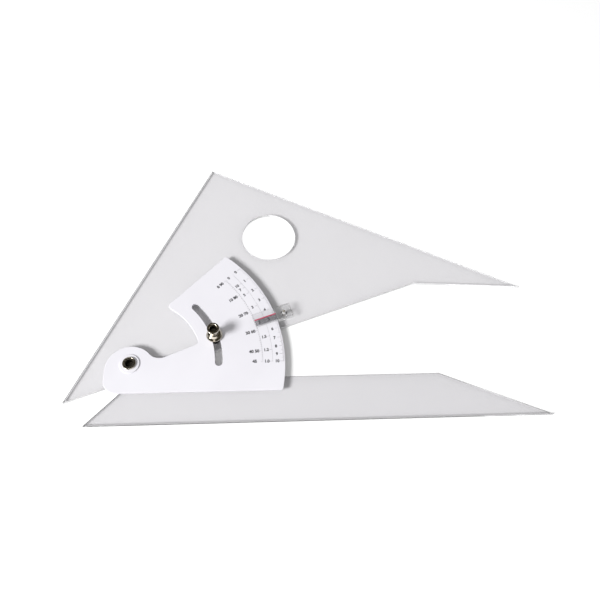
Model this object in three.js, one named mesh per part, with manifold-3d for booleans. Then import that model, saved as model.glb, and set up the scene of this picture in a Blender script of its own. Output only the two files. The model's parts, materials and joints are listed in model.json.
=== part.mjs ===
// Adjustable set square: a clear blade, a clear triangle that swings on it, and a white
// quadrant plate with a curved slot, a clamp nut and a reading window.
// Units are millimetres. +Z is up, away from the paper. The origin is on the pivot axis at
// the level of the paper, and +X runs along the blade's long guide edge.
import * as THREE from 'three';
import Module from 'manifold-3d';

const wasm = await Module();
wasm.setup();

// ---------- driving dimensions ----------
const legLength = 253;          // short side of the closed 45-90-45 outline
const bladeWidth = 30.3;        // from the guide edge to the seam
const pivotInset = 10;          // pivot axis to the seam, and to the blade's slanted end
const sheet = 3;                // acrylic thickness
const edgeBevel = 0.4;          // polished bevel on the acrylic edges
const seamGap = 0.3;            // triangle to blade, when they close on each other
const restAngle = 19.5;         // how far the triangle stands open, degrees
const maxAngle = 45;            // how far it can open, degrees
const fingerHole = { x: 122.1, y: 64.3, radius: 20 };

const plate = {
  top: 5.2,
  relief: 0.25,                 // underside lifted clear of the swinging triangle
  overlap: 10,                  // strip that lies on the blade
  outerRadius: 103.4,
  neckRadius: 47.2,
  topArcAngle: 53.2,            // where the curved edge meets the slanted top edge
  corner: 1,                    // rounding of the outline's outer corners
  heelCorner: 3,                // rounding where the slanted top edge meets the concave edge
  neckCorner: 2.5,              // rounding where the neck meets the concave edge
  bevel: 0.3,
};
const boss = { x: 0.2, y: -3.8, radius: 16.4, footRadius: 9 };
const neck = { x: 17.6, y: 2.6, slope: 22.5, fillet: 9 };
const slot = { radius: 58.8, width: 5.2 };

const pivot = {
  headRadius: 5, headHeight: 1, barrelRadius: 3.2, hollowRadius: 2.7, floor: 1.4,
  bushRadius: 4.2, washerRadius: 8, topWasherRadius: 6.7, topWasherHeight: 0.8,
  nutRadius: 4.4, nutHeight: 1.3, notch: 1.1,
};
const clamp = {
  headRadius: 4.5, headHeight: 1, studRadius: 2, studTop: 13,
  washerRadius: 5, washerHeight: 0.7,
  flangeRadius: 5.6, flangeHeight: 2.6, neckRadius: 3, ringRadius: 4.1,
  ringHeight: 3.4, top: 17.2, bore: 2.25, notch: 1,
};
const cursor = {
  inner: 87.2, outer: 115, blockInner: 104, width: 10, blockTop: 5.6, windowTop: 7.4,
  screwAt: 109.6,
};
const screw = { headRadius: 2, headHeight: 1.1, shankRadius: 1, slotWidth: 0.6, slotDepth: 0.5 };
const plateScrews = { first: 12, step: 40, count: 3, top: 4.4 };
const running = 0.1;            // radial play of turning fits
const loose = 0.3;              // clearance of pieces inside the turned group
const seat = 0.1;               // film of air under a piece that rests on acrylic

// ---------- plane geometry ----------
const degrees = Math.PI / 180;
const point = (x, y) => new THREE.Vector2(x, y);
const polar = (radius, angle, cx = 0, cy = 0) =>
  point(cx + radius * Math.cos(angle * degrees), cy + radius * Math.sin(angle * degrees));

// Points along an arc from one angle to another, both ends included.
function arc(radius, from, to, step, cx = 0, cy = 0) {
  const count = Math.max(1, Math.round(Math.abs(to - from) / step));
  const turn = (to - from) / count;
  return Array.from({ length: count + 1 }, (_, i) => polar(radius, from + turn * i, cx, cy));
}

const circle = (radius, cx, cy, sides) => arc(radius, 0, 360 - 360 / sides, 360 / sides, cx, cy);

// A corner between two straight stretches, rounded by an arc that touches both. The arc runs
// clockwise at a corner that points into the outline.
function roundedCorner(before, corner, after, radius) {
  const back = before.clone().sub(corner).normalize();
  const ahead = after.clone().sub(corner).normalize();
  const half = Math.acos(back.dot(ahead)) / 2;
  const centre = corner.clone().add(back.clone().add(ahead).setLength(radius / Math.sin(half)));
  const towards = corner.clone().sub(centre).angle() / degrees;
  const turn = Math.sign(ahead.cross(back));
  const sweep = turn * (90 - half / degrees);
  return arc(radius, towards - sweep, towards + sweep, 20, centre.x, centre.y);
}

function leftNormal(from, to) {
  const along = to.clone().sub(from).normalize();
  return point(-along.y, along.x);
}

// A counterclockwise outline moved inwards by a distance, with mitred corners.
function inset(outline, distance) {
  return outline.map((corner, i) => {
    const before = leftNormal(outline.at(i - 1), corner);
    const after = leftNormal(corner, outline[(i + 1) % outline.length]);
    const mitre = before.clone().add(after).divideScalar(1 + before.dot(after));
    return corner.clone().addScaledVector(mitre, distance);
  });
}

// ---------- solids ----------
// A closed body through a stack of outlines that all have the same number of corners.
function stack(levels) {
  const count = levels[0].outline.length;
  const positions = levels.flatMap(({ z, outline }) => outline.flatMap((p) => [p.x, p.y, z]));
  const index = [];
  for (let level = 0; level + 1 < levels.length; level += 1) {
    for (let i = 0; i < count; i += 1) {
      const a = level * count + i;
      const b = level * count + ((i + 1) % count);
      index.push(a, b, b + count, a, b + count, a + count);
    }
  }
  const top = (levels.length - 1) * count;
  THREE.ShapeUtils.triangulateShape(levels[0].outline, []).forEach(([a, b, c]) => index.push(a, c, b));
  THREE.ShapeUtils.triangulateShape(levels.at(-1).outline, [])
    .forEach(([a, b, c]) => index.push(top + a, top + b, top + c));
  const geometry = new THREE.BufferGeometry();
  geometry.setAttribute('position', new THREE.Float32BufferAttribute(positions, 3));
  geometry.setIndex(index);
  return toSolid(geometry);
}

function toSolid(geometry) {
  const vertProperties = new Float32Array(geometry.attributes.position.array);
  const triVerts = new Uint32Array(geometry.index.array);
  return new wasm.Manifold(new wasm.Mesh({ numProp: 3, vertProperties, triVerts }));
}

const prism = (outline, bottom, top) => stack([{ z: bottom, outline }, { z: top, outline }]);

const bevelled = (outline, bottom, top, bevel) => stack([
  { z: bottom, outline: inset(outline, bevel) },
  { z: bottom + bevel, outline },
  { z: top - bevel, outline },
  { z: top, outline: inset(outline, bevel) },
]);

// A round body about a vertical axis from [radius, z] steps, lowest first.
const turned = (steps, at = point(0, 0), sides = 36) =>
  stack(steps.map(([radius, z]) => ({ z, outline: circle(radius, at.x, at.y, sides) })));

const rectangle = (x0, x1, y0, y1) => [point(x0, y0), point(x1, y0), point(x1, y1), point(x0, y1)];

const box = (x0, x1, y0, y1, z0, z1) => prism(rectangle(x0, x1, y0, y1), z0, z1);

const cut = (body, ...tools) => tools.reduce((rest, tool) => rest.subtract(tool), body);

// ---------- materials ----------
const acrylic = () => new THREE.MeshStandardMaterial({
  color: 0xe9ebee, roughness: 0.05, metalness: 0, transparent: true, opacity: 0.35, flatShading: true,
});
const whitePlastic = () => new THREE.MeshStandardMaterial({
  color: 0xf5f5fa, roughness: 0.35, flatShading: true,
});
const nickel = () => new THREE.MeshStandardMaterial({
  color: 0xb8b2a2, roughness: 0.2, metalness: 1, flatShading: true,
});
const nylon = () => new THREE.MeshStandardMaterial({
  color: 0xdedede, roughness: 0.6, flatShading: true,
});

function part(name, body, material) {
  const { vertProperties, triVerts } = body.getMesh();
  const geometry = new THREE.BufferGeometry();
  geometry.setAttribute('position', new THREE.BufferAttribute(vertProperties, 3));
  geometry.setIndex(new THREE.BufferAttribute(triVerts, 1));
  geometry.computeVertexNormals();
  const mesh = new THREE.Mesh(geometry, material);
  mesh.name = name;
  return mesh;
}

// ---------- outlines about the pivot, with the set square closed ----------
const halfBase = legLength / Math.SQRT2;
const guideY = -(bladeWidth + pivotInset);
const seamY = -pivotInset;
// The blade's slanted end lies on the 45 degree line y = x + slantOffset.
const slantOffset = -pivotInset * Math.SQRT2;
const bladeStart = guideY - slantOffset;
// The triangle's left tip is the blade's lower tip turned back by the full opening angle.
const leftTip = point(bladeStart, guideY).rotateAround(point(0, 0), -maxAngle * degrees);
const rightTip = leftTip.x + 2 * halfBase - bladeWidth;
const apex = point(rightTip - halfBase, guideY + halfBase);
const seamEnd = rightTip - bladeWidth / Math.tan((maxAngle / 2) * degrees);

const bladeOutline = [
  point(bladeStart, guideY),
  point(rightTip, guideY),
  point(seamEnd, seamY),
  point(seamY - slantOffset, seamY),
];

// The two seam edges are cut back by the gap; the outer edges stay on the closed outline.
function triangleOutline() {
  const tipSlope = Math.tan((maxAngle / 2) * degrees);
  const bend = point(seamEnd + seamGap * Math.tan((maxAngle / 4) * degrees), seamY + seamGap);
  const lift = seamGap / Math.cos((maxAngle / 2) * degrees);
  const tipX = rightTip - lift / (1 - tipSlope);
  const tip = point(tipX, guideY + (rightTip - tipX));
  return [point(leftTip.x + seamGap, seamY + seamGap), bend, tip, apex];
}

function plateOutline() {
  const bottom = seamY - plate.overlap;
  const outerStart = Math.asin(bottom / plate.outerRadius) / degrees;
  const topCorner = polar(plate.outerRadius, plate.topArcAngle);
  // Slanted top edge at 45 degrees, down to the concave neck arc.
  const rise = topCorner.y - topCorner.x;
  const neckX = (-rise + Math.sqrt(2 * plate.neckRadius ** 2 - rise ** 2)) / 2;
  const neckTop = Math.atan2(neckX + rise, neckX) / degrees;
  // Neck edge through (neck.x, neck.y), and where it meets the concave arc.
  const direction = polar(1, neck.slope);
  const along = direction.x * neck.x + direction.y * neck.y;
  const reach = Math.sqrt(along ** 2 - neck.x ** 2 - neck.y ** 2 + plate.neckRadius ** 2) - along;
  const neckBottom = Math.atan2(neck.y + reach * direction.y, neck.x + reach * direction.x) / degrees;
  // Fillet that touches the neck edge from above and the boss from outside.
  const normal = point(-direction.y, direction.x);
  const base = point(neck.x - boss.x, neck.y - boss.y).addScaledVector(normal, neck.fillet);
  const back = base.dot(direction);
  const slide = -back + Math.sqrt(back ** 2 - base.lengthSq() + (boss.radius + neck.fillet) ** 2);
  const centre = point(boss.x, boss.y).add(base).addScaledVector(direction, slide);
  const toBoss = Math.atan2(centre.y - boss.y, centre.x - boss.x) / degrees;
  const outerEdge = arc(plate.outerRadius, outerStart, plate.topArcAngle, 1.5);
  const neckArc = arc(plate.neckRadius, neckTop, neckBottom, 4);
  const fillet = arc(neck.fillet, neck.slope - 90, toBoss - 180, 9, centre.x, centre.y);
  // The left side drops straight from the boss to a rounded foot.
  const footX = boss.x - boss.radius + boss.footRadius;
  const bossEdge = [
    ...arc(boss.radius, toBoss, 180, 6, boss.x, boss.y).slice(1),
    ...arc(boss.footRadius, 180, 270, 9, footX, bottom + boss.footRadius),
  ];
  return [
    ...roundedCorner(bossEdge.at(-1), outerEdge[0], outerEdge[1], plate.corner),
    ...outerEdge.slice(1, -1),
    ...roundedCorner(outerEdge.at(-2), outerEdge.at(-1), neckArc[0], plate.corner),
    ...roundedCorner(outerEdge.at(-1), neckArc[0], neckArc[1], plate.heelCorner),
    ...neckArc.slice(2, -1),
    ...roundedCorner(neckArc.at(-2), neckArc.at(-1), fillet[0], plate.neckCorner),
    ...fillet,
    ...bossEdge,
  ];
}

// Curved slot from the closed to the fully open angle, with round ends.
function slotOutline() {
  const half = slot.width / 2;
  const end = polar(slot.radius, maxAngle);
  return [
    ...arc(slot.radius + half, 0, maxAngle, 1.5),
    ...arc(half, maxAngle, maxAngle + 180, 15, end.x, end.y).slice(1, -1),
    ...arc(slot.radius - half, maxAngle, 0, 1.5),
    ...arc(half, 180, 360, 15, slot.radius, 0).slice(1, -1),
  ];
}

// ---------- fixed half ----------
const screwPlaces = Array.from({ length: plateScrews.count }, (_, i) =>
  point(plateScrews.first + i * plateScrews.step, seamY - plate.overlap / 2));

// Countersunk screw seen from below: wide head at the bottom, driver slot across it.
function countersunkScrew(at, top) {
  const lowest = running;
  const body = turned([
    [screw.headRadius, lowest],
    [screw.shankRadius, lowest + screw.headHeight],
    [screw.shankRadius, top],
  ], at, 24);
  const half = screw.slotWidth / 2;
  const reach = screw.headRadius + 1;
  const across = rectangle(at.x - reach, at.x + reach, at.y - half, at.y + half);
  return cut(body, prism(across, -1, lowest + screw.slotDepth));
}

// Matching hole, wider than the screw by the given play.
const countersink = (at, top, play) => turned([
  [screw.headRadius + play, -1],
  [screw.headRadius + play, running],
  [screw.shankRadius + play, running + screw.headHeight],
  [screw.shankRadius + play, top + play],
], at, 24);

function blade() {
  const holes = screwPlaces.map((at) => countersink(at, plateScrews.top, running));
  return cut(bevelled(bladeOutline, 0, sheet, edgeBevel), ...holes);
}

function quadrantPlate() {
  const outline = plateOutline();
  const slab = bevelled(outline, sheet + plate.relief, plate.top, plate.bevel);
  const foot = prism(inset(bladeOutline, edgeBevel), sheet + seat, sheet + 2 * plate.relief)
    .intersect(prism(inset(outline, plate.bevel), sheet, plate.top));
  const pivotHole = pivot.barrelRadius + running;
  return cut(
    slab.add(foot),
    prism(slotOutline(), 0, plate.top + 1),
    turned([[pivotHole, 0], [pivotHole, plate.top + 1]]),
    ...screwPlaces.map((at) => countersink(at, plateScrews.top, running)),
  );
}

// ---------- pivot ----------
const topWasherTop = plate.top + pivot.topWasherHeight;
const pivotNutTop = topWasherTop + pivot.nutHeight;

function pivotStud() {
  const rim = pivotNutTop - 0.5;
  return cut(
    turned([
      [pivot.headRadius - 0.2, 0],
      [pivot.headRadius, 0.2],
      [pivot.headRadius, pivot.headHeight],
    ]).add(turned([[pivot.barrelRadius, pivot.headHeight - 0.5], [pivot.barrelRadius, rim]])),
    turned([[pivot.hollowRadius, pivot.floor], [pivot.hollowRadius, rim + 1]]),
  );
}

const ring = (outer, inner, bottom, top) => cut(
  turned([[outer, bottom], [outer, top]]),
  turned([[inner, bottom - 1], [inner, top + 1]]),
);

const underPlate = sheet + plate.relief;

const pivotBush = () =>
  ring(pivot.bushRadius, pivot.barrelRadius + running, pivot.headHeight, underPlate);

const pivotWasher = () =>
  ring(pivot.washerRadius, pivot.bushRadius + running, sheet + seat, underPlate);

function pivotTopWasher() {
  const radius = pivot.topWasherRadius;
  const body = turned([
    [radius, plate.top],
    [radius, topWasherTop - plate.bevel],
    [radius - plate.bevel, topWasherTop],
  ], point(0, 0), 72);
  const hole = pivot.barrelRadius + running;
  return cut(body, turned([[hole, plate.top - 1], [hole, topWasherTop + 1]]));
}

function pivotNut() {
  const body = turned([
    [pivot.nutRadius, topWasherTop],
    [pivot.nutRadius, pivotNutTop - 0.5],
    [pivot.nutRadius - 0.5, pivotNutTop],
  ]);
  const bore = pivot.barrelRadius + running;
  const half = pivot.notch / 2;
  return cut(
    body,
    turned([[bore, topWasherTop - 1], [bore, pivotNutTop + 1]]),
    box(-half, half, -pivot.nutRadius - 1, 0, pivotNutTop - 0.8, pivotNutTop + 1),
  );
}

// ---------- swinging half ----------
const clampAt = point(slot.radius, 0);
const cursorScrewAt = point(cursor.screwAt, 0);

function triangle() {
  const hole = point(fingerHole.x, fingerHole.y);
  const flare = fingerHole.radius + edgeBevel;
  const clampHead = clamp.headRadius + loose;
  const clampHole = clamp.studRadius + loose;
  return cut(
    bevelled(triangleOutline(), 0, sheet, edgeBevel),
    turned([
      [flare + 1, -1],
      [flare, 0],
      [fingerHole.radius, edgeBevel],
      [fingerHole.radius, sheet - edgeBevel],
      [flare, sheet],
      [flare + 1, sheet + 1],
    ], hole, 96),
    turned([[pivot.headRadius + loose, -1], [pivot.headRadius + loose, pivot.headHeight + running]]),
    turned([[pivot.bushRadius + running, 0], [pivot.bushRadius + running, sheet + 1]]),
    turned([[clampHead, -1], [clampHead, clamp.headHeight + loose]], clampAt),
    turned([[clampHole, 0], [clampHole, sheet + 1]], clampAt),
    countersink(cursorScrewAt, sheet + 1, loose),
  );
}

function clampStud() {
  return turned([
    [clamp.headRadius - 0.2, 0],
    [clamp.headRadius, 0.2],
    [clamp.headRadius, clamp.headHeight],
  ], clampAt).add(turned([
    [clamp.studRadius, clamp.headHeight - 0.5],
    [clamp.studRadius, clamp.studTop - 0.4],
    [clamp.studRadius - 0.4, clamp.studTop],
  ], clampAt));
}

const clampBase = plate.top + clamp.washerHeight;

function clampWasher() {
  const hole = clamp.studRadius + loose;
  return cut(
    turned([[clamp.washerRadius, plate.top], [clamp.washerRadius, clampBase]], clampAt),
    turned([[hole, plate.top - 1], [hole, clampBase + 1]], clampAt),
  );
}

// Hollow thumb nut: flange, waist and ring, with a notch at the front of flange and ring.
function clampNut() {
  const flangeTop = clampBase + clamp.flangeHeight;
  const ringBottom = clamp.top - clamp.ringHeight;
  const body = turned([
    [clamp.flangeRadius - 0.4, clampBase],
    [clamp.flangeRadius, clampBase + 0.4],
    [clamp.flangeRadius, flangeTop - 0.4],
    [clamp.flangeRadius - 0.6, flangeTop],
    [clamp.neckRadius + 0.2, flangeTop + 0.5],
    [clamp.neckRadius, ringBottom - 1],
    [clamp.ringRadius, ringBottom],
    [clamp.ringRadius, clamp.top - 0.5],
    [clamp.ringRadius - 0.5, clamp.top],
  ], clampAt, 48);
  const half = clamp.notch / 2;
  const front = (inner, bottom, top) =>
    box(clampAt.x - half, clampAt.x + half, -clamp.flangeRadius - 1, -inner, bottom, top);
  return cut(
    body,
    turned([[clamp.bore, 0], [clamp.bore, clamp.top - 0.6], [clamp.bore + 0.6, clamp.top]], clampAt),
    front(clamp.flangeRadius - 1.2, clampBase - 1, flangeTop + 1),
    front(0, clamp.top - 1, clamp.top + 1),
  );
}

const cursorOutline = (inner, outer) =>
  rectangle(inner, outer, -cursor.width / 2, cursor.width / 2);

const cursorBlock = () => cut(
  bevelled(cursorOutline(cursor.blockInner, cursor.outer), sheet + seat, cursor.blockTop, edgeBevel),
  countersink(cursorScrewAt, cursor.blockTop + 1, loose),
);

function cursorWindow() {
  const hole = screw.shankRadius + loose;
  const outline = cursorOutline(cursor.inner, cursor.outer);
  return cut(
    bevelled(outline, cursor.blockTop + seat, cursor.windowTop, edgeBevel),
    turned([[hole, cursor.blockTop - 1], [hole, cursor.windowTop - 0.4]], cursorScrewAt, 24),
  );
}

const cursorScrew = () => countersunkScrew(cursorScrewAt, cursor.windowTop - 1);

// ---------- assembly ----------
const base = new THREE.Group();
base.add(part('blade', blade(), acrylic()));
base.add(part('quadrant_plate', quadrantPlate(), whitePlastic()));
base.add(part('pivot_stud', pivotStud(), nickel()));
base.add(part('pivot_bush', pivotBush(), nickel()));
base.add(part('pivot_washer', pivotWasher(), nylon()));
base.add(part('pivot_top_washer', pivotTopWasher(), whitePlastic()));
base.add(part('pivot_nut', pivotNut(), nickel()));
screwPlaces.forEach((at, i) => {
  base.add(part(`plate_screw_${i + 1}`, countersunkScrew(at, plateScrews.top), nickel()));
});

const swing = new THREE.Group();
swing.rotation.z = restAngle * degrees;
swing.add(part('triangle', triangle(), acrylic()));
swing.add(part('clamp_stud', clampStud(), nickel()));
swing.add(part('clamp_washer', clampWasher(), nickel()));
swing.add(part('clamp_nut', clampNut(), nickel()));
swing.add(part('cursor_block', cursorBlock(), acrylic()));
swing.add(part('cursor_window', cursorWindow(), acrylic()));
swing.add(part('cursor_screw', cursorScrew(), nickel()));

const setSquare = new THREE.Group();
setSquare.add(base, swing);

export default setSquare;
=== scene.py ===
import json
import math

import bmesh
import bpy
from mathutils import Matrix, Vector


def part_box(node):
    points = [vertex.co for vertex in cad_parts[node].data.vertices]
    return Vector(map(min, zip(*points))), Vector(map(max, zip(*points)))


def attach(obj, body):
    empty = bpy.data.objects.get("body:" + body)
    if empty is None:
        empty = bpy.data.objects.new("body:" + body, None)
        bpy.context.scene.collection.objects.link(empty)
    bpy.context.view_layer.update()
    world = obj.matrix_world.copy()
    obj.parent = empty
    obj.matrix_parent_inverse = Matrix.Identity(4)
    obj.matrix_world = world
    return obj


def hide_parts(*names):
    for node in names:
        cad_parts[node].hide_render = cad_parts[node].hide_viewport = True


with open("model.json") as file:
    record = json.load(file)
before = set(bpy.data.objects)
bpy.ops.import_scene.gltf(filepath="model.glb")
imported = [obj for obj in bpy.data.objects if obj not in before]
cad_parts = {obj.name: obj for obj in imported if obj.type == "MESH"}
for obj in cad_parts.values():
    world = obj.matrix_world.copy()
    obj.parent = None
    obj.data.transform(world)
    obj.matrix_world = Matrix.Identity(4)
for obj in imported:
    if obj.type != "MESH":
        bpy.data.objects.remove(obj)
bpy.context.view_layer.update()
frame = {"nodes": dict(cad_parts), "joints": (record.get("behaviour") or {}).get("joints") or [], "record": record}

# ---------- places, worked out from the frame ----------
MM = 0.001
joints = {joint["name"]: joint for joint in frame["joints"]}
PIVOT = Vector(joints["triangle_swing"]["pos_m"])
CLAMP = Vector(joints["clamp_turn"]["pos_m"])
REST_ANGLE = math.atan2(CLAMP.y, CLAMP.x)
PLATE_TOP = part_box("quadrant_plate")[1].z
WINDOW_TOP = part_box("cursor_window")[1].z
NUT_LOW, NUT_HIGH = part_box("clamp_nut")
RING_LOW, RING_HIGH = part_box("pivot_nut")


# ---------- node trees ----------
COLOUR_A, COLOUR_B, COLOUR_OUT = 6, 7, 2    # where a Mix node keeps its colour sockets
NOISE_LOW, NOISE_HIGH = 0.35, 0.65          # most of a noise texture's values lie between these


class Nodes:
    """A node tree, with short ways to add to it."""

    def __init__(self, tree):
        self.tree = tree

    def node(self, kind, **values):
        made = self.tree.nodes.new(kind)
        for name, value in values.items():
            setattr(made, name, value)
        return made

    def feed(self, value, socket):
        """Links an output to a socket, or gives the socket a fixed number, vector or colour."""
        if isinstance(value, bpy.types.NodeSocket):
            self.tree.links.new(value, socket)
        elif socket.type == "RGBA":
            socket.default_value = (*value, 1)
        else:
            socket.default_value = value

    def math(self, operation, *values):
        made = self.node("ShaderNodeMath", operation=operation)
        for value, socket in zip(values, made.inputs):
            self.feed(value, socket)
        return made.outputs["Value"]

    def mapped(self, factor, source, target):
        """Carries a value from one range over to another."""
        made = self.node("ShaderNodeMapRange")
        for name, value in zip(("From Min", "From Max", "To Min", "To Max"), (*source, *target)):
            made.inputs[name].default_value = value
        self.feed(factor, made.inputs["Value"])
        return made.outputs["Result"]

    def ramp(self, factor, low, high, start=NOISE_LOW, end=NOISE_HIGH):
        """Runs from one colour to another while the factor goes from start to end."""
        made = self.node("ShaderNodeValToRGB")
        first, last = made.color_ramp.elements
        first.position, last.position = start, end
        first.color, last.color = (*low, 1), (*high, 1)
        self.feed(factor, made.inputs["Fac"])
        return made.outputs["Color"]

    def mixed(self, factor, start, end):
        """A colour between two colours."""
        made = self.node("ShaderNodeMix", data_type="RGBA")
        self.feed(factor, made.inputs["Factor"])
        self.feed(start, made.inputs[COLOUR_A])
        self.feed(end, made.inputs[COLOUR_B])
        return made.outputs[COLOUR_OUT]

    def blended(self, factor, start, end):
        """A surface between two surfaces."""
        made = self.node("ShaderNodeMixShader")
        self.feed(factor, made.inputs["Fac"])
        self.feed(start, made.inputs[1])
        self.feed(end, made.inputs[2])
        return made.outputs["Shader"]


class Shader(Nodes):
    """A material with one Principled shader."""

    def __init__(self, name):
        self.material = bpy.data.materials.new(name)
        self.material.use_nodes = True
        super().__init__(self.material.node_tree)
        self.sockets = self.tree.nodes["Principled BSDF"].inputs
        self.look = self.tree.nodes["Principled BSDF"].outputs["BSDF"]
        self.surface = self.tree.nodes["Material Output"].inputs["Surface"]
        self.place = self.node("ShaderNodeTexCoord").outputs["Object"]

    def fixed(self, **values):
        """Sets sockets by name, with _ for each space."""
        for name, value in values.items():
            self.sockets[name.replace("_", " ")].default_value = value

    def noise(self, scale, detail=4.0, stretch=(1, 1, 1)):
        mapping = self.node("ShaderNodeMapping")
        self.feed(stretch, mapping.inputs["Scale"])
        self.feed(self.place, mapping.inputs["Vector"])
        texture = self.node("ShaderNodeTexNoise")
        self.feed(scale, texture.inputs["Scale"])
        self.feed(detail, texture.inputs["Detail"])
        self.feed(mapping.outputs["Vector"], texture.inputs["Vector"])
        return texture.outputs["Fac"]

    def colours(self, factor, low, high):
        self.feed(self.ramp(factor, low, high), self.sockets["Base Color"])

    def roughness(self, factor, low, high):
        self.feed(self.mapped(factor, (0, 1), (low, high)), self.sockets["Roughness"])

    def bump(self, factor, strength, depth):
        made = self.node("ShaderNodeBump")
        self.feed(strength, made.inputs["Strength"])
        self.feed(depth, made.inputs["Distance"])
        self.feed(factor, made.inputs["Height"])
        self.feed(made.outputs["Normal"], self.sockets["Normal"])


# ---------- clear acrylic ----------
CLEAR, DIM, DARK = ((level, level, level) for level in (0.93, 0.55, 0.25))
WATER_CLEAR = (1, 1, 1)
FROST_WHITE = (0.93, 0.93, 0.94)
# The upright part of a normal: a side up to the first value, a face from the second on.
SIDE_SLOPE = (0.3, 0.6)
FACE_ROUGHNESS, SIDE_ROUGHNESS, UNEVEN_ROUGHNESS = 0.01, 0.14, 0.03


def clear_acrylic(name, tint, side_tint, coming_in, going_out, frosting=0):
    """Cast acrylic with polished faces and satin sawn sides. Light passes the faces on its way to
    the paper; coming_in and going_out say how much of it passes a side. Frosting is how much of
    a side looks white, as saw marks scatter the light."""
    shader = Shader(name)
    shader.fixed(IOR=1.49, Transmission_Weight=1.0)
    geometry = shader.node("ShaderNodeNewGeometry")
    from_inside = geometry.outputs["Backfacing"]
    facing = shader.node("ShaderNodeSeparateXYZ")
    shader.feed(geometry.outputs["Normal"], facing.inputs["Vector"])
    side = shader.mapped(shader.math("ABSOLUTE", facing.outputs["Z"]), SIDE_SLOPE, (1, 0))

    face_colour = shader.ramp(shader.noise(scale=25), [c * 0.99 for c in tint], tint)
    side_colour = shader.mixed(from_inside, side_tint, WATER_CLEAR)
    shader.feed(shader.mixed(side, face_colour, side_colour), shader.sockets["Base Color"])
    satin = shader.mapped(side, (0, 1), (FACE_ROUGHNESS, SIDE_ROUGHNESS))
    haze = shader.noise(scale=60, detail=6)
    haze = shader.math("MULTIPLY_ADD", haze, UNEVEN_ROUGHNESS, satin)
    shader.feed(haze, shader.sockets["Roughness"])
    ripple = shader.noise(scale=900, detail=2, stretch=(1, 0.05, 1))
    shader.bump(ripple, strength=0.02, depth=0.05 * MM)

    surface = shader.look
    if frosting:
        frost = shader.node("ShaderNodeBsdfDiffuse")
        shader.feed(FROST_WHITE, frost.inputs["Color"])
        amount = shader.math("MULTIPLY", side, frosting)
        surface = shader.blended(amount, surface, frost.outputs["BSDF"])
    at_side = shader.mixed(from_inside, coming_in, going_out)
    through = shader.node("ShaderNodeBsdfTransparent")
    shader.feed(shader.mixed(side, CLEAR, at_side), through.inputs["Color"])
    path = shader.node("ShaderNodeLightPath")
    for ray in ("Is Diffuse Ray", "Is Shadow Ray"):
        surface = shader.blended(path.outputs[ray], surface, through.outputs["BSDF"])
    shader.feed(surface, shader.surface)
    return shader.material


# ---------- the other materials ----------
def white_plastic():
    shader = Shader("white_plastic")
    shader.fixed(IOR=1.46, Specular_IOR_Level=0.4)
    shader.colours(shader.noise(scale=30), (0.725, 0.714, 0.755), (0.75, 0.74, 0.78))
    shader.roughness(shader.noise(scale=90, detail=6), 0.28, 0.42)
    shader.bump(shader.noise(scale=1500, detail=3), strength=0.06, depth=0.04 * MM)
    return shader.material


def nickel():
    """Plated brass turned on a lathe: fine tool lines round it, a little tarnish."""
    shader = Shader("nickel")
    shader.fixed(Metallic=1.0)
    shader.colours(shader.noise(scale=300), (0.56, 0.52, 0.44), (0.74, 0.70, 0.63))
    shader.roughness(shader.noise(scale=700, detail=5), 0.08, 0.22)
    lines = shader.node("ShaderNodeTexWave", bands_direction="Z")
    shader.feed(1200, lines.inputs["Scale"])
    shader.feed(0.6, lines.inputs["Distortion"])
    shader.feed(shader.place, lines.inputs["Vector"])
    shader.bump(lines.outputs["Fac"], strength=0.05, depth=0.02 * MM)
    return shader.material


def dark_nickel():
    """Near-black, unpolished metal inside the bores: painted shade for the dark hollows."""
    shader = Shader("dark_nickel")
    shader.fixed(Metallic=1.0)
    shader.colours(shader.noise(scale=500), (0.05, 0.045, 0.035), (0.12, 0.11, 0.09))
    shader.roughness(shader.noise(scale=900, detail=5), 0.45, 0.6)
    return shader.material


def nylon():
    shader = Shader("nylon")
    shader.fixed(IOR=1.53)
    shader.colours(shader.noise(scale=200), (0.70, 0.70, 0.69), (0.78, 0.78, 0.77))
    shader.roughness(shader.noise(scale=400), 0.5, 0.65)
    shader.bump(shader.noise(scale=2000), strength=0.1, depth=0.03 * MM)
    return shader.material


def ink(name, thin, thick):
    """Printed ink, a little uneven in depth."""
    shader = Shader(name)
    shader.fixed(IOR=1.45)
    shader.colours(shader.noise(scale=1800, detail=6), thin, thick)
    shader.roughness(shader.noise(scale=900), 0.45, 0.7)
    return shader.material


def smoke():
    """Thin see-through grey film: painted shade for the darker front half of the reading window."""
    shader = Shader("painted_shade_print")
    shader.fixed(IOR=1.45, Alpha=0.34)
    shader.colours(shader.noise(scale=900), (0.10, 0.10, 0.11), (0.13, 0.13, 0.14))
    shader.roughness(shader.noise(scale=500), 0.2, 0.35)
    return shader.material


def floor_paper():
    shader = Shader("floor_paper")
    shader.fixed(Roughness=0.9, Specular_IOR_Level=0.0)
    shader.colours(shader.noise(scale=3), (0.945, 0.945, 0.945), (0.955, 0.955, 0.955))
    return shader.material


ACRYLIC = clear_acrylic(
    "clear_acrylic", tint=(0.835, 0.825, 0.846), side_tint=(0.92, 0.92, 0.93),
    coming_in=CLEAR, going_out=DARK, frosting=0.7,
)
# The blade's low side_tint darkens its sides seen from outside: painted shade for a dark line along its edges.
BLADE_ACRYLIC = clear_acrylic(
    "blade_acrylic", tint=(0.784, 0.774, 0.796), side_tint=(0.5, 0.49, 0.52),
    coming_in=CLEAR, going_out=DARK,
)
CURSOR_ACRYLIC = clear_acrylic(
    "cursor_acrylic", tint=(0.99, 0.99, 0.99), side_tint=(0.97, 0.97, 0.99),
    coming_in=DIM, going_out=CLEAR, frosting=0.7,
)
WINDOW_PAINTED_SHADE = smoke()
WHITE = white_plastic()
NICKEL = nickel()
BORE_PAINTED_SHADE = dark_nickel()
NYLON = nylon()
BLACK_INK = ink("black_ink", (0.06, 0.06, 0.065), (0.015, 0.015, 0.018))
RED_INK = ink("red_ink", (0.52, 0.06, 0.12), (0.42, 0.03, 0.08))

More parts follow.
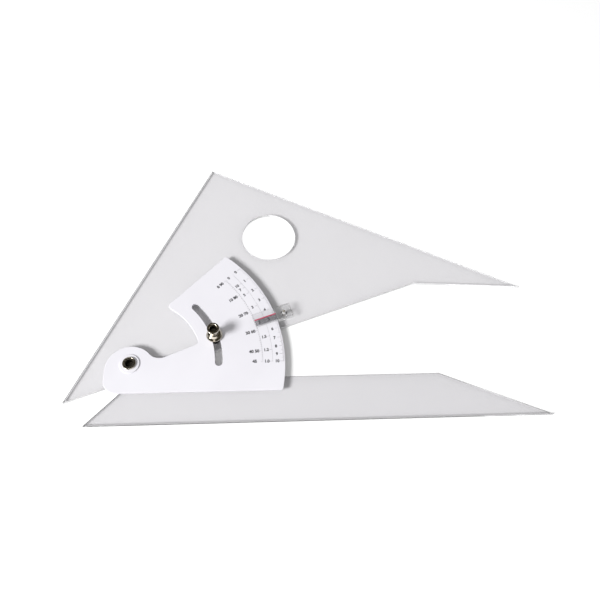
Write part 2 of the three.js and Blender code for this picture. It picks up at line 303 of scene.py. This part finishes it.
SLOT_FINISHES = {
    "acrylic": ACRYLIC,
    "white_plastic": WHITE,
    "nickel": NICKEL,
    "nylon": NYLON,
}
NODE_FINISHES = {
    "blade": BLADE_ACRYLIC,
    "cursor_block": CURSOR_ACRYLIC,
    "cursor_window": CURSOR_ACRYLIC,
    # The studs, seen down the nuts' hollows, take the near-black bore metal as painted shade.
    "pivot_stud": BORE_PAINTED_SHADE,
    "clamp_stud": BORE_PAINTED_SHADE,
}
for row in frame["record"]["subparts"]:
    finish = NODE_FINISHES.get(row["node"], SLOT_FINISHES[row["material_slot"]])
    for material_slot in frame["nodes"][row["node"]].material_slots:
        material_slot.material = finish


# ---------- helpers for objects and meshes ----------
def placed(name, data):
    """A new object in the scene."""
    made = bpy.data.objects.new(name, data)
    bpy.context.scene.collection.objects.link(made)
    return made


def finished(name, work):
    """A mesh with what the bmesh holds."""
    mesh = bpy.data.meshes.new(name)
    work.to_mesh(mesh)
    work.free()
    return mesh


def piece(name, mesh, material, body):
    made = placed(name, mesh)
    mesh.materials.clear()
    mesh.materials.append(material)
    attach(made, body)
    return made


def darken_bore(made, centre, radius):
    """Gives the upright faces inside a radius the near-black bore metal, painted shade for the hollow."""
    made.data.materials.append(BORE_PAINTED_SHADE)
    for face in made.data.polygons:
        away = math.hypot(face.center.x - centre.x, face.center.y - centre.y)
        if away < radius and abs(face.normal.z) < 0.5:
            face.material_index = 1


def fluted(radius, z, angle, flutes):
    """The radius at one point of a grooved outside."""
    lowest, highest, count, depth = flutes
    if lowest <= z <= highest:
        radius -= depth * (0.5 - 0.5 * math.cos(count * angle))
    return radius


def lathe(name, profile, centre, sides, flutes=None):
    """A ring-shaped body: a closed (radius, z) loop turned about a vertical axis. flutes is
    (lowest z, highest z, count, depth) for shallow grooves round the outside."""
    work = bmesh.new()
    rings = []
    for i in range(sides):
        angle = 2 * math.pi * i / sides
        ring = []
        for radius, z in profile:
            if flutes:
                radius = fluted(radius, z, angle, flutes)
            spot = (centre.x + radius * math.cos(angle), centre.y + radius * math.sin(angle), z)
            ring.append(work.verts.new(spot))
        rings.append(ring)
    for i, ring in enumerate(rings):
        after = rings[(i + 1) % sides]
        for j in range(len(profile)):
            k = (j + 1) % len(profile)
            face = work.faces.new((ring[j], after[j], after[k], ring[k]))
            face.smooth = True
    bmesh.ops.recalc_face_normals(work, faces=work.faces)
    return finished(name, work)


def rounded(points, radius, steps=4):
    """A closed loop of (x, y) points with every corner eased by a short curve."""
    most = 0.45         # share of an edge that one corner may take
    out = []
    for i, corner in enumerate(points):
        corner = Vector(corner)
        before = Vector(points[i - 1]) - corner
        after = Vector(points[(i + 1) % len(points)]) - corner
        reach = min(radius, before.length * most, after.length * most)
        start = corner + before.normalized() * reach
        end = corner + after.normalized() * reach
        for step in range(steps + 1):
            t = step / steps
            spot = start * (1 - t) ** 2 + corner * 2 * t * (1 - t) + end * t ** 2
            out.append((spot.x, spot.y))
    return out


def notched(mesh, centre, width, near, far, bottom, top):
    """Cuts a notch out of the front of a ring, from near to far in front of its centre, by a
    boolean that is applied here."""
    work = bmesh.new()
    bmesh.ops.create_cube(work, size=1)
    size = Matrix.Diagonal((width, far - near, top - bottom, 1))
    middle = Matrix.Translation((centre.x, centre.y - (near + far) / 2, (bottom + top) / 2))
    bmesh.ops.transform(work, matrix=middle @ size, verts=work.verts)
    cutter = placed("notch", finished("notch", work))
    holder = placed("notched", mesh)
    modifier = holder.modifiers.new("cut", "BOOLEAN")
    modifier.object = cutter
    modifier.operation = "DIFFERENCE"
    modifier.solver = "EXACT"
    ready = holder.evaluated_get(bpy.context.evaluated_depsgraph_get())
    result = bpy.data.meshes.new_from_object(ready)
    bpy.data.objects.remove(cutter)
    bpy.data.objects.remove(holder)
    return result


def add_prism(work, corners, bottom, top):
    """A flat outline given a thickness."""
    low, high = ([work.verts.new((x, y, z)) for x, y in corners] for z in (bottom, top))
    work.faces.new(list(reversed(low)))
    work.faces.new(high)
    for i in range(len(corners)):
        j = (i + 1) % len(corners)
        work.faces.new((low[i], low[j], high[j], high[i]))


# ---------- thumb nut ----------
def clamp_nut():
    low, high = NUT_LOW.z, NUT_HIGH.z
    flange = (NUT_HIGH.x - NUT_LOW.x) / 2
    bore = 2.3 * MM
    neck = 2.9 * MM
    ring = 4.1 * MM
    bevel = 0.3 * MM                                # under the flange
    rim = low + 1.1 * MM                            # top of the flange's side
    shoulder = (flange - 1.4 * MM, low + 2.6 * MM)  # end of the flange's slope
    waist = (low + 2.9 * MM, high - 4.4 * MM)       # the straight part of the neck
    lip = 0.2 * MM                                  # round the top ring
    profile = [
        (bore, low),
        (flange - bevel, low),
        (flange, low + bevel),
        (flange, rim),
        shoulder,
        (neck, waist[0]),
        (neck, waist[1]),
        (ring, high - 1.1 * MM),
        (ring, high - lip),
        (ring - lip, high),
        (neck, high),
        (bore, high - 0.7 * MM),
    ]
    flutes = (low + 0.25 * MM, low + 1.3 * MM, 36, 0.2 * MM)
    mesh = lathe("clamp_nut_fine", rounded(profile, 0.15 * MM), CLAMP, sides=168, flutes=flutes)
    mesh = notched(mesh, CLAMP, width=1.0 * MM, near=0, far=6 * MM,
                   bottom=high - 1.0 * MM, top=high + 1 * MM)
    mesh = notched(mesh, CLAMP, width=1.2 * MM, near=flange - 1.5 * MM, far=flange + 1 * MM,
                   bottom=low - 1 * MM, top=low + 2.8 * MM)
    made = piece("thumb_nut", mesh, NICKEL, "clamp_turner")
    darken_bore(made, CLAMP, bore + 0.2 * MM)
    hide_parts("clamp_nut")


# ---------- pivot ring nut ----------
def pivot_nut():
    low, high = RING_LOW.z, RING_HIGH.z
    outer = (RING_HIGH.x - RING_LOW.x) / 2
    bore = 3.35 * MM
    bevel = 0.2 * MM
    profile = [
        (bore, low),
        (outer, low),
        (outer, high - bevel),
        (outer - bevel, high),
        (bore + 0.4 * MM, high),
        (bore, high - 0.5 * MM),
    ]
    mesh = lathe("pivot_nut_fine", rounded(profile, 0.1 * MM), PIVOT, sides=120)
    mesh = notched(mesh, PIVOT, width=1.1 * MM, near=2 * MM, far=5 * MM,
                   bottom=high - 0.8 * MM, top=high + 1 * MM)
    made = piece("ring_nut", mesh, NICKEL, "base")
    darken_bore(made, PIVOT, bore + 0.1 * MM)
    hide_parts("pivot_nut")


# ---------- printed scale ----------
PRINT_DEPTH = 0.03 * MM
LINE = 0.11 * MM
FINE_LINE = 0.08 * MM
BOLD = 0.045              # how far ink spreads round each figure, in em
CAP = 0.7                 # height of a figure, in em
FULL = 45                 # degrees of swing

# Distances from the pivot. A scale's marks start at the first value for every tenth one, at the
# second for every fifth and at the third for the rest.
SLOPE_MARKS, SLOPE_END = (99.7 * MM, 101.0 * MM, 101.8 * MM), 102.8 * MM
SLOPE_RING = 97.9 * MM    # figures: rise in ten
RATIO_MARK, RATIO_END = 93.0 * MM, 94.9 * MM
RATIO_RING = 91.0 * MM    # figures: one in so many
DEGREE_MARKS, DEGREE_END = (86.4 * MM, 87.0 * MM, 87.5 * MM), 88.3 * MM
DEGREE_RING = 82.8 * MM
FIGURE, DEGREE_FIGURE = 2.0 * MM, 2.1 * MM


def swing_angle(reading):
    """Where on the plate a reading stands: the reading falls as the triangle opens."""
    return math.radians(FULL) - reading


def add_label(work, text, radius, angle, height):
    """Figures that run along a line out from the pivot."""
    curve = bpy.data.curves.new("label", "FONT")
    curve.body = text
    curve.offset = BOLD
    curve.align_x = "CENTER"
    curve.align_y = "CENTER"
    curve.extrude = PRINT_DEPTH / 2 * CAP / height
    curve.resolution_u = 3
    holder = placed("label", curve)
    ready = holder.evaluated_get(bpy.context.evaluated_depsgraph_get())
    mesh = bpy.data.meshes.new_from_object(ready)
    turn = Matrix.Rotation(angle, 4, "Z")
    place = Matrix.Translation((radius, 0, PLATE_TOP + PRINT_DEPTH / 2))
    mesh.transform(turn @ place @ Matrix.Scale(height / CAP, 4))
    work.from_mesh(mesh)
    bpy.data.objects.remove(holder)
    bpy.data.curves.remove(curve)
    bpy.data.meshes.remove(mesh)


def add_stroke(work, corners):
    """A thin printed mark on the plate."""
    add_prism(work, corners, PLATE_TOP, PLATE_TOP + PRINT_DEPTH)


def add_tick(work, angle, inner, outer):
    along = Vector((math.cos(angle), math.sin(angle)))
    across = Vector((-along.y, along.x)) * LINE / 2
    add_stroke(work, [along * inner - across, along * outer - across,
                      along * outer + across, along * inner + across])


def add_arc(work, radius):
    """A fine line round the whole swing, one short stroke to a degree."""
    near, far = radius - FINE_LINE / 2, radius + FINE_LINE / 2
    for degree in range(FULL):
        a, b = math.radians(degree), math.radians(degree + 1)
        ring = [(near, a), (far, a), (far, b), (near, b)]
        add_stroke(work, [(r * math.cos(t), r * math.sin(t)) for r, t in ring])


def mark_start(count, starts):
    tens, fives, ones = starts
    if count % 10 == 0:
        return tens
    return fives if count % 5 == 0 else ones


def slope_scale(work):
    for tenths in range(101):
        angle = swing_angle(math.atan(tenths / 100))
        add_tick(work, angle, mark_start(tenths, SLOPE_MARKS), SLOPE_END)
    for rise in range(11):
        add_label(work, str(rise), SLOPE_RING, swing_angle(math.atan(rise / 10)), FIGURE)


def ratio_scale(work):
    for run in (1.0, 1.2, 1.5, 2, 3, 5, 7, 10):
        angle = swing_angle(math.atan(1 / run))
        add_label(work, str(run), RATIO_RING, angle, FIGURE)
        add_tick(work, angle, RATIO_MARK, RATIO_END)
    add_label(work, "0", RATIO_RING, swing_angle(0), FIGURE)


def degree_scale(work):
    for degree in range(FULL + 1):
        angle = swing_angle(math.radians(degree))
        add_tick(work, angle, mark_start(degree, DEGREE_MARKS), DEGREE_END)
    for degree in range(0, FULL, 10):
        angle = swing_angle(math.radians(degree))
        add_label(work, f"{degree} {90 - degree}", DEGREE_RING, angle, DEGREE_FIGURE)
    add_label(work, str(FULL), DEGREE_RING, 0, DEGREE_FIGURE)


def scale_print():
    work = bmesh.new()
    slope_scale(work)
    ratio_scale(work)
    degree_scale(work)
    add_arc(work, DEGREE_END)
    add_arc(work, RATIO_END)
    piece("scale_print", finished("scale_print", work), BLACK_INK, "base")


# ---------- marks and painted shade on the reading window ---
MARK_INNER, MARK_OUTER = 87.7 * MM, 103.5 * MM     # from the pivot
MARK_DEPTH = 0.02 * MM
HAIRLINE_SIDE = 0.38 * MM                          # the line's edge, from the window's middle
PAINTED_SHADE_SIDE = 4.5 * MM                              # the painted shade strip's outer edge


def window_mark(name, near, far, material):
    """A thin layer on top of the window, from one side of its middle line to the other."""
    corners = [(MARK_INNER, near), (MARK_OUTER, near), (MARK_OUTER, far), (MARK_INNER, far)]
    work = bmesh.new()
    add_prism(work, rounded(corners, 0.3 * MM), WINDOW_TOP, WINDOW_TOP + MARK_DEPTH)
    mesh = finished(name, work)
    mesh.transform(Matrix.Rotation(REST_ANGLE, 4, "Z"))
    piece(name, mesh, material, "swing")


# ---------- floor, light and camera ----------
FLOOR_REACH = 6
FLOOR_GAP = 0.05 * MM                  # keeps the paper clear of the undersides
LIT_POINT = Vector((0.115, 0.049, 0))
KEY_DISTANCE, KEY_SIZE, KEY_POWER = 3.8, 1.25, 170
SHADOWS_FALL = math.radians(30)        # round from +X
KEY_HEIGHT = math.radians(40)          # above the floor
EVEN_LIGHT = 0.47
PANEL_LIGHT = 1.3
PANEL_DIRECTION = Vector((-0.25, -0.35, 0.9)).normalized()
PANEL_EDGE = (0.80, 0.90)              # cosine of the angle from the panel's middle


def floor():
    work = bmesh.new()
    bmesh.ops.create_grid(work, x_segments=1, y_segments=1, size=FLOOR_REACH)
    mesh = finished("floor", work)
    made = placed("floor", mesh)
    made.location = (0, 0, -FLOOR_GAP)
    mesh.materials.append(floor_paper())


def key_light():
    across = Vector((math.cos(SHADOWS_FALL), math.sin(SHADOWS_FALL), 0))
    ray = across * math.cos(KEY_HEIGHT) - Vector((0, 0, math.sin(KEY_HEIGHT)))
    softbox = bpy.data.lights.new("key", "AREA")
    softbox.shape = "DISK"
    softbox.size = KEY_SIZE
    softbox.energy = KEY_POWER
    key = placed("key", softbox)
    key.location = LIT_POINT - ray * KEY_DISTANCE
    key.rotation_mode = "QUATERNION"
    key.rotation_quaternion = ray.to_track_quat("-Z", "Y")


def room():
    """Even white light all round, and for reflections a dark room with a bright panel overhead."""
    world = bpy.data.worlds.new("studio")
    world.use_nodes = True
    nodes = Nodes(world.node_tree)
    even = nodes.tree.nodes["Background"]
    nodes.feed((1, 1, 1), even.inputs["Color"])
    nodes.feed(EVEN_LIGHT, even.inputs["Strength"])
    panel = nodes.node("ShaderNodeVectorMath", operation="DOT_PRODUCT")
    nodes.feed(nodes.node("ShaderNodeTexCoord").outputs["Generated"], panel.inputs[0])
    nodes.feed(PANEL_DIRECTION, panel.inputs[1])
    seen = nodes.ramp(panel.outputs["Value"], (0.035, 0.03, 0.02), (1, 0.97, 0.96), *PANEL_EDGE)
    mirrored = nodes.node("ShaderNodeBackground")
    nodes.feed(PANEL_LIGHT, mirrored.inputs["Strength"])
    nodes.feed(seen, mirrored.inputs["Color"])
    path = nodes.node("ShaderNodeLightPath").outputs
    reflected = nodes.math("GREATER_THAN", path["Is Glossy Ray"], path["Is Transmission Ray"])
    both = nodes.blended(reflected, even.outputs["Background"], mirrored.outputs["Background"])
    nodes.feed(both, nodes.tree.nodes["World Output"].inputs["Surface"])
    bpy.context.scene.world = world


def camera():
    azimuth, elevation, roll = (math.radians(a) for a in (-7.32, 62.51, -5.67))
    distance = 415.5 * MM
    target = Vector((115.4, 48.6, 0)) * MM
    back = Vector((math.sin(azimuth) * math.cos(elevation),
                   -math.cos(azimuth) * math.cos(elevation), math.sin(elevation)))
    right = Vector((math.cos(azimuth), math.sin(azimuth), 0))
    up = back.cross(right)
    x_axis = right * math.cos(roll) - up * math.sin(roll)
    y_axis = right * math.sin(roll) + up * math.cos(roll)
    lens = bpy.data.cameras.new("camera")
    lens.lens = 34.57
    lens.sensor_width = 36
    lens.clip_start = 0.01
    made = placed("camera", lens)
    turn = Matrix((x_axis, y_axis, back)).transposed().to_4x4()
    made.matrix_world = Matrix.Translation(target + back * distance) @ turn
    bpy.context.scene.camera = made


camera()
clamp_nut()
pivot_nut()
scale_print()
window_mark("hairline", -HAIRLINE_SIDE, HAIRLINE_SIDE, RED_INK)
# The grey strip on the window's front half is painted shade, not print on the window.
window_mark("painted_window_shade", -PAINTED_SHADE_SIDE, -HAIRLINE_SIDE, WINDOW_PAINTED_SHADE)
floor()
key_light()
room()
bpy.context.scene.view_settings.view_transform = "Standard"
